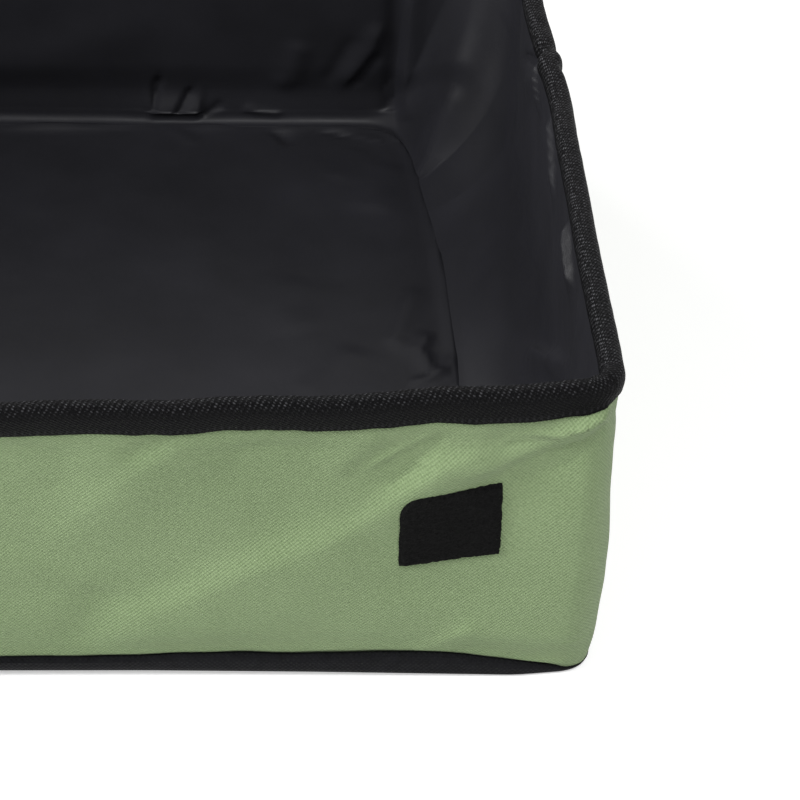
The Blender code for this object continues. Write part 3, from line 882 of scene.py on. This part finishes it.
def floorPoint(x, y):
    inFrom = inFromEdge(x, y)
    total = wavesOf(x, y, 31, floorSheet["waves"]) - floorSheet["endDip"] * smooth(np.abs(y), 0.045, 0.105)
    total = total + foldsOf(x, y, floorSheet["folds"])
    total = np.maximum(total, -floorSheet["deepest"]) * smooth(inFrom, -0.001, 0.005)
    atSide = smooth(np.abs(y), *floorSheet["sideSpan"])
    atEnd = smooth(np.abs(x), *floorSheet["endSpan"]) * (0.7 + 0.5 * ripple(x, y, 35, 0.04))
    alongSides = linerCloth["ridge"] * (0.1 + 0.9 * atSide) * bell(inFrom, *floorSheet["sideLine"])
    alongEnds = floorSheet["endRidge"] * np.maximum(atEnd, 0.3) * bell(inFrom, *floorSheet["endLine"])
    edge = np.where(np.abs(y) > floorSheet["endFrom"], alongEnds, alongSides)
    hidden = floorSheet["hidden"] * smooth(inFrom, 0.0002, -0.0040)
    place = np.stack([x, y, tub["floorTop"] - floorSheet["below"] + total + edge - hidden], -1)
    return place, np.broadcast_to(np.array([0, 0, 1.0]), place.shape)


def footLine():
    lam = np.linspace(-innerX, innerY, 240)
    level = np.full_like(lam, tub["floorTop"])
    place, out = around(1.0, 1.0, lam, level, innerX, innerY, linerRadius(level))
    return (place - out * filletOf(lam, linerRadius(level))[:, None])[:, :2]


# the line where the walls' cloth reaches the floor, from the middle of the back to the middle of a side
floorOutline = footLine()


def makeFloor():
    x = np.linspace(-floorSheet["halfX"], floorSheet["halfX"], floorSheet["columns"] + 1)
    y = np.linspace(-floorSheet["halfY"], floorSheet["halfY"], floorSheet["rows"] + 1)
    x, y = np.meshgrid(x, y)
    piece = makeCloth("floor_liner_cloth", floorPoint, x, y, innerCloth, ["floor_liner"], body="base")
    return piece


makeFloor()

linerGrid = {
    "endColumns": 190, "sideColumns": 140, "cornerColumns": 82, "rows": 76, "footRows": 21, "tuckedRows": 5,
    "crowd": 1.3, "top": 0.1140, "fromMitre": 0.0035,
    "sideBend": ((-0.020, 0.0055), (0, 0.024)),  # inset and level where a side wall's liner bends
    "cornerReach": 0.0620,  # how much of a side wall's foot the soft corner takes up
    "tuck": 0.0014,  # how far the top rows of a corner's foot go in behind the rest
}


def cornerStart(mu):
    # lam where an end wall's liner ends and the soft corner begins
    return -linerRadius(tub["floorTop"] + np.maximum(mu, 0))


def sideReach(mu):
    # half the length of a side wall's liner
    rest = tub["mitreFoot"] - np.maximum(tub["floorTop"] + mu - tub["sideHinge"], 0) - linerGrid["fromMitre"]
    return np.minimum(rest, innerY - linerGrid["cornerReach"])


def linerRows(lam):
    # every piece has its rows at the same heights where it meets the next
    low = -filletOf(lam, -cornerStart(0))
    share = np.linspace(0, 1, linerGrid["rows"] + 1)[:, None] ** linerGrid["crowd"]
    return low + (linerGrid["top"] - tub["floorTop"] - low) * share


for end, sy in ends.items():
    across = np.linspace(-1, 1, linerGrid["endColumns"] + 1)[None, :]
    mu = linerRows((innerX + cornerStart(0)) * np.abs(across) - innerX)
    makeCloth(end + "_liner_cloth", endFace(linerPoint, sy, innerX), (innerX + cornerStart(mu)) * across, mu,
              innerCloth, [end + "_liner"], joint=endJoint(end, sy, innerY))

for side, sx in sides.items():
    across = np.linspace(-1, 1, linerGrid["sideColumns"] + 1)[None, :]
    mu = linerRows(innerY - sideReach(0) * np.abs(across))
    makeCloth(side + "_liner_cloth", sideFace(linerPoint, sx, innerY), sideReach(mu) * across, mu,
              innerCloth, [side + "_liner"],
              joint=("base", side + "_wall", *((sx * (innerX + inset), 0, level)
                                               for inset, level in linerGrid["sideBend"])))

for sx, sy in corners:
    across = np.linspace(0, 1, linerGrid["cornerColumns"] + 1)[None, :]
    lamAt = lambda mu: cornerStart(mu) + (innerY - sideReach(mu) - cornerStart(mu)) * across
    mu = linerRows(lamAt(0))
    lam = lamAt(mu)
    web, wall, foot = webName(sx, sy), endName(sy) + "_wall", linerGrid["footRows"]
    makeCloth(web + "_liner_cloth", lambda a, b: linerPoint(sx, sy, a, b), lam[foot:], mu[foot:],
              innerCloth, [web + "_liner"], body=wall,
              flat=(wall + "_fold", (0, 1, 0), (0, sy * innerY, 0), 0.06))
    # the foot stays on the base, with a few rows tucked up behind the rest
    last = foot + linerGrid["tuckedRows"]
    tuck = linerGrid["tuck"] * smooth(np.arange(last), foot, foot + 2)[:, None]
    makeCloth(web + "_foot_liner", lambda a, b: linerPoint(sx, sy, a, b, tuck), lam[:last], mu[:last],
              innerCloth, [], body="base",
              flat=(wall + "_fold", (0, 0, 1), (0, 0, tub["floorTop"]), 0.10))
print("liner made")


# Binding tape over the rim

rimTape = {
    # offset inwards from the cover's face, height from the rim, all round the section
    "section": [(-0.9, -11.0), (-1.2, -8.5), (-1.5, -5.5), (-1.35, -2.9), (-0.5, -0.9), (1.0, 0.05), (2.6, 0.15),
                (4.2, -0.35), (5.3, -1.7), (5.75, -4.0), (5.7, -7.4), (5.0, -7.5), (4.8, -4.4), (4.3, -2.4),
                (2.6, -1.3), (0.9, -1.4), (-0.1, -2.8), (-0.5, -5.5), (-0.3, -8.4), (-0.1, -10.9)],
    "deep": 0.011, "hem": 0.0004,  # depth on the outside, and how uneven its lower edge is
    "spacing": 0.0022, "cornerRise": 0.0022, "waves": ((0.00035, 0.060), (0.00012, 0.014)),
    # where the side rims are kinked, how deep, and middle and reach of the kink, the lump and the notch there
    "kinkAt": 0.0275, "kinkDepth": 0.0020, "kinks": ((0, 0.0035), (-0.0045, 0.0045), (-0.0110, 0.0030)),
    "kinkPush": ((0.0006, -0.0008, 0.0008), (-0.0014, 0.0008, 0)),  # inwards, of the outer and the inner side
}


def roundSection(points, times=2):
    points = np.array(points, float)
    for _ in range(times):
        after = np.roll(points, -1, 0)
        points = np.stack([points * 0.75 + after * 0.25, points * 0.25 + after * 0.75], 1).reshape(-1, 2)
    return points / 1000


tapeSection = roundSection(rimTape["section"])
sectionRun = np.concatenate([[0], np.cumsum(np.linalg.norm(np.diff(tapeSection, axis=0), axis=1))])


def tapePoints(sx, sy, lam):
    # one section for each lam
    sx, sy, lam, inset, drop = np.broadcast_arrays(sx[:, None], sy[:, None], lam[:, None], *tapeSection.T)
    alongSide, acrossEnd = sy * (halfD - lam), sx * (halfW + lam)
    wobble = wavesOf(acrossEnd, alongSide, 41, rimTape["waves"])
    onSide = smooth(lam, 0.01, 0.03)
    marks = np.array([bell(alongSide - rimTape["kinkAt"], *spot) * onSide for spot in rimTape["kinks"]])
    pushOuter, pushInner = np.tensordot(rimTape["kinkPush"], marks, 1)
    inner = smooth(inset, 0.0, 0.005)
    outer = 1 - inner
    inset = inset + pushOuter * outer + pushInner * inner
    deep, hem = rimTape["deep"], rimTape["hem"]
    height = rimTop + drop + wobble - rimTape["kinkDepth"] * marks[0] * (1 + drop / deep) * (0.3 + 0.7 * inner)
    height = height + hem * ripple(acrossEnd, alongSide, 43, 0.045) * smooth(-drop, 0.006, deep) * outer
    height = height + rimTape["cornerRise"] * bell(lam, 0, arcOut) * smooth(-drop, 0.003, 0.010) * outer
    place, out = around(sx, sy, lam, height, halfW, halfD, arcOut)
    under = coverRelief(sx, sy, lam, height) * smooth(-drop, 0.003, 0.008) * outer
    return place + out * (under - inset - wobble * 0.6)[..., None]


def makeTape(name, sx, sy, lam, step=0.0004, **where):
    # a closed band swept along lam
    sx, sy, lam = np.broadcast_arrays(sx, sy, lam)
    points = tapePoints(sx, sy, lam)
    forwards = np.sign(np.gradient(lam))[:, None, None]
    along = (tapePoints(sx, sy, lam + step) - tapePoints(sx, sy, lam - step)) * forwards
    normals = unit(np.cross(along, np.roll(points, -1, 1) - np.roll(points, 1, 1)))
    normals = normals * np.sign(np.sum(normals * (points - points.mean(1, keepdims=True)), -1).mean())
    faces = bandFaces(*points.shape[:2])
    if np.cross(points[0, 1] - points[0, 0], points[1, 0] - points[0, 0]) @ normals[0, 0] < 0:
        faces = [face[::-1] for face in faces]
    place = np.where(lam < 0, sx * (halfW + lam), sy * (halfD - lam) + 1)
    uv = flatUv(*np.broadcast_arrays(place[:, None], sectionRun))
    piece = meshPiece(name + "_rim_tape", points.reshape(-1, 3), faces, tape, uv, normals.reshape(-1, 3))
    return settle(piece, "binding_tape", [name + "_binding"], **where)


def runOf(low, high, spacing):
    return np.linspace(low, high, max(4, int((high - low) / spacing) + 1))


mitreTop = float(mitre(np.array(rimTop - 0.004)))
for end, sy in ends.items():
    x = runOf(-(halfW - arcOut), halfW - arcOut, rimTape["spacing"])
    makeTape(end, signOf(x), sy, np.abs(x) - halfW, body=end + "_wall")
for side, sx in sides.items():
    y = runOf(-mitreTop, mitreTop, rimTape["spacing"] / 2)
    makeTape(side, sx, signOf(y), halfD - np.abs(y), body=side + "_wall")
for sx, sy in corners:
    lam = [np.linspace(-arcOut, arcOut, 17)[:-1], runOf(arcOut, halfD - mitreTop, rimTape["spacing"])]
    makeTape(webName(sx, sy), sx, sy, np.concatenate(lam), joint=cornerJoint(sx, sy))
print("rim tape made")


# Hook-and-loop patches

patches = {
    "thick": 0.0014, "rows": 26, "columns": 32, "rounding": 0.012, "cut": 0.15, "fray": 0.00012,
    "sunk": 0.0002,  # how far its back lies inside the cover
    # across and up the wall: upper left, upper right, lower right and lower left
    "spots": {
        "front_patch_right": (-1, [(135.2, 79.6), (165.9, 83.0), (166.6, 55.1), (136.1, 50.0)]),
        "front_patch_left": (-1, [(-167.0, 76.0), (-136.4, 74.4), (-135.8, 49.6), (-166.6, 50.9)]),
        "back_patch_right": (1, [(135.6, 75.2), (166.2, 73.8), (166.4, 49.0), (135.4, 50.4)]),
        "back_patch_left": (1, [(-166.4, 74.0), (-135.8, 76.4), (-136.0, 51.6), (-166.2, 49.4)]),
    },
}


def makePatch(name, seed):
    sy, spots = patches["spots"][name]
    upLeft, upRight, lowRight, lowLeft = np.array(spots) / 1000
    s = np.linspace(0, 1, patches["columns"] + 1)[None, :]
    t = np.linspace(0, 1, patches["rows"] + 1)[:, None]
    across, down = np.broadcast_arrays(2 * s - 1, 2 * t - 1)
    pull = patches["rounding"] * (np.abs(across) ** 8) * (np.abs(down) ** 8)
    s = s - across * pull
    t = t - down * pull + patches["cut"] * np.clip(-across, 0, 1) ** 6 * (1 - t)
    place = ((1 - t) * (1 - s))[..., None] * upLeft + ((1 - t) * s)[..., None] * upRight
    place = place + (t * s)[..., None] * lowRight + (t * (1 - s))[..., None] * lowLeft
    q, h = place[..., 0], place[..., 1]
    border = np.maximum(np.abs(across), np.abs(down))
    fray = patches["fray"] * ripple(q, h, seed, 0.0030) * smooth(border, 0.9, 1.0)
    q, h = q + fray * np.sign(across), h + fray * np.sign(down)
    lift = patches["thick"] * (1 - 0.75 * smooth(border, 0.90, 1.0))
    lift = lift + patches["fray"] * ripple(q, h, seed + 1, 0.0022)
    onCover = lambda inset: coverPoint(signOf(q), sy, np.abs(q) - halfW, h, inset)[0]
    points = onCover(-lift)
    normals = unit(np.cross(np.gradient(points, axis=0), np.gradient(points, axis=1)))
    if normals[3, 3, 1] * sy < 0:
        normals = -normals
    piece = sheetPiece(name + "_pad", points, normals, (q, h), patches["thick"], hookPad)
    for vertex, spot in zip(piece.data.vertices[q.size:], onCover(patches["sunk"]).reshape(-1, 3)):
        vertex.co = spot
    return settle(piece, "hook_and_loop", [name], body=endName(sy) + "_wall")


for seed, name in enumerate(patches["spots"]):
    makePatch(name, 60 + seed * 3)
print("patches made")


# Boards inside the walls

wallBoard = {
    "inset": 0.0022, "thick": 0.0006, "top": 0.1165, "rows": 12, "arc": 0.006,
    "endFoot": 0.0205, "endHalf": 0.186, "sideFoot": 0.0125, "gapMiddle": 0.0012, "gapMitre": 0.0035,
}
floorBoard = {"low": 0.0014, "high": 0.0032, "inset": 0.0075, "corner": 0.010, "gapMiddle": 0.0008}
boardX, boardY = halfW - wallBoard["inset"], halfD - wallBoard["inset"]


def boardPoint(sx, sy, lam, h):
    return around(sx, sy, lam, h, boardX, boardY, wallBoard["arc"])


coreBoard = (wallBoard["thick"], board, "stiffening_board")
for end, sy in ends.items():
    x = np.linspace(-wallBoard["endHalf"], wallBoard["endHalf"], 40)
    level = np.linspace(wallBoard["endFoot"], wallBoard["top"], wallBoard["rows"])
    makeCloth(end + "_board_core", endFace(boardPoint, sy, boardX), *np.meshgrid(x, level), coreBoard,
              [end + "_board"], body=end + "_wall")
for side, sx in sides.items():
    for half, sy in halves.items():
        level = np.linspace(wallBoard["sideFoot"], wallBoard["top"], wallBoard["rows"])
        span = (mitre(level) - wallBoard["gapMitre"] - wallBoard["gapMiddle"])[:, None]
        y = wallBoard["gapMiddle"] + span * np.linspace(0, 1, 20)[None, :]
        h = np.broadcast_to(level[:, None], y.shape)
        name = "%s_board_%s" % (side, half)
        makeCloth(name + "_core", lambda a, b: boardPoint(sx, sy, boardY - a, b), y, h, coreBoard, [name],
                  body=side + "_wall")


def makeFloorBoard(half, sy):
    radius, inset = floorBoard["corner"], floorBoard["inset"]
    lam = np.concatenate([[-0.12], np.linspace(-radius, radius, 9), [halfD - inset - floorBoard["gapMiddle"]]])
    corner = around(1.0, 1.0, lam, np.zeros_like(lam), halfW - inset, halfD - inset, radius)[0][:, :2]
    outline = np.concatenate([corner, corner[::-1] * (-1, 1)]) * (1, sy)
    count = len(outline)
    points = [(x, y, level) for level in (floorBoard["low"], floorBoard["high"]) for x, y in outline]
    faces = [tuple(range(count))[::-1], tuple(range(count, 2 * count))]
    faces += [(i, (i + 1) % count, (i + 1) % count + count, i + count) for i in range(count)]
    if sy > 0:
        faces = [face[::-1] for face in faces]
    piece = meshPiece("floor_board_%s_core" % half, points, faces, board, shade=False)
    return settle(piece, "stiffening_board", ["floor_board_" + half], body="base")


for half, sy in halves.items():
    makeFloorBoard(half, sy)
print("boards made")


# Floor of the studio, world, lamps and camera

studio = {"floorHalf": 3.0, "floorLevel": -0.0004, "floorGlow": 0.46, "floorWhite": 0.80, "skyForObject": 0.30}


def emptyTree(owner):
    owner.use_nodes = True
    owner.node_tree.nodes.clear()
    return owner.node_tree


def showTwoWays(tree, outputKind, lit, seen):
    # seen by the camera and in reflections, lit for every other ray
    rays = addNode(tree, "ShaderNodeLightPath").outputs
    direct = calc(tree, "MAXIMUM", rays["Is Camera Ray"], rays["Is Glossy Ray"])
    mix = addNode(tree, "ShaderNodeMixShader", {0: direct, 1: lit, 2: seen})
    addNode(tree, outputKind, {0: mix.outputs[0]})


def makeStudio():
    bpy.ops.mesh.primitive_grid_add(size=2 * studio["floorHalf"], x_subdivisions=2, y_subdivisions=2,
                                    location=(0, 0, studio["floorLevel"]))
    ground = bpy.context.object
    ground.name = "studio_floor"
    material = bpy.data.materials.new("studio_floor")
    tree = emptyTree(material)
    plain = addNode(tree, "ShaderNodeBsdfDiffuse", {"Color": (*[studio["floorWhite"]] * 3, 1)}).outputs[0]
    glow = addNode(tree, "ShaderNodeEmission", {"Strength": studio["floorGlow"]}).outputs[0]
    both = addNode(tree, "ShaderNodeAddShader", {0: plain, 1: glow}).outputs[0]
    showTwoWays(tree, "ShaderNodeOutputMaterial", plain, both)
    ground.data.materials.append(material)

    world = bpy.data.worlds.new("studio")
    bpy.context.scene.world = world
    tree = emptyTree(world)
    lit, shown = (addNode(tree, "ShaderNodeBackground", {"Color": (1, 1, 1, 1), "Strength": strength}).outputs[0]
                  for strength in (studio["skyForObject"], 1.0))
    showTwoWays(tree, "ShaderNodeOutputWorld", lit, shown)


lamps = {
    "key": {"place": (0.45, -0.80, 1.45), "aim": (0, 0, 0.05), "size": 0.6, "power": 13.6, "shine": True},
    "fill": {"place": (-1.50, -0.50, 0.85), "aim": (0, 0, 0.05), "size": 0.7, "power": 30, "shine": False},
    "low": {"place": (-1.60, 0.15, 0.38), "aim": (0, 0, 0.08), "size": 0.5, "power": 12, "shine": True},
    "window": {"place": (-0.90, 1.50, 0.85), "aim": (0.1, 0, 0.05), "size": 0.6, "power": 6, "shine": True},
}


def makeLamps():
    for name, lamp in lamps.items():
        light = bpy.data.lights.new(name, "AREA")
        light.shape = "DISK"
        light.size = lamp["size"]
        light.energy = lamp["power"]
        spot = addObject(name + "_lamp", light)
        spot.visible_glossy = lamp["shine"]
        back = unit(np.array(lamp["place"]) - lamp["aim"])
        across = unit(np.cross((0, 0, 1.0), back))
        turned = Matrix(np.column_stack([across, np.cross(back, across), back]).tolist()).to_4x4()
        spot.matrix_world = Matrix.Translation(lamp["place"]) @ turned


# degrees: down from level, turned to the right and rolled
viewpoint = {"place": (0.0750, -0.7762, 0.6325), "down": 39.69, "turn": 5.39, "roll": 3.48, "lens": 126.63}


def makeCamera():
    down, turn, roll = (math.radians(viewpoint[key]) for key in ("down", "turn", "roll"))
    data = bpy.data.cameras.new("camera")
    data.lens = viewpoint["lens"]
    data.sensor_width = 36
    data.clip_start = 0.01
    camera = addObject("camera", data)
    turned = Matrix.Rotation(-turn, 4, "Z") @ Matrix.Rotation(math.pi / 2 - down, 4, "X")
    camera.matrix_world = Matrix.Translation(viewpoint["place"]) @ turned @ Matrix.Rotation(roll, 4, "Z")
    bpy.context.scene.camera = camera


makeStudio()
makeLamps()
makeCamera()
bpy.context.scene.view_settings.view_transform = "Standard"
print("studio, lamps and camera made")
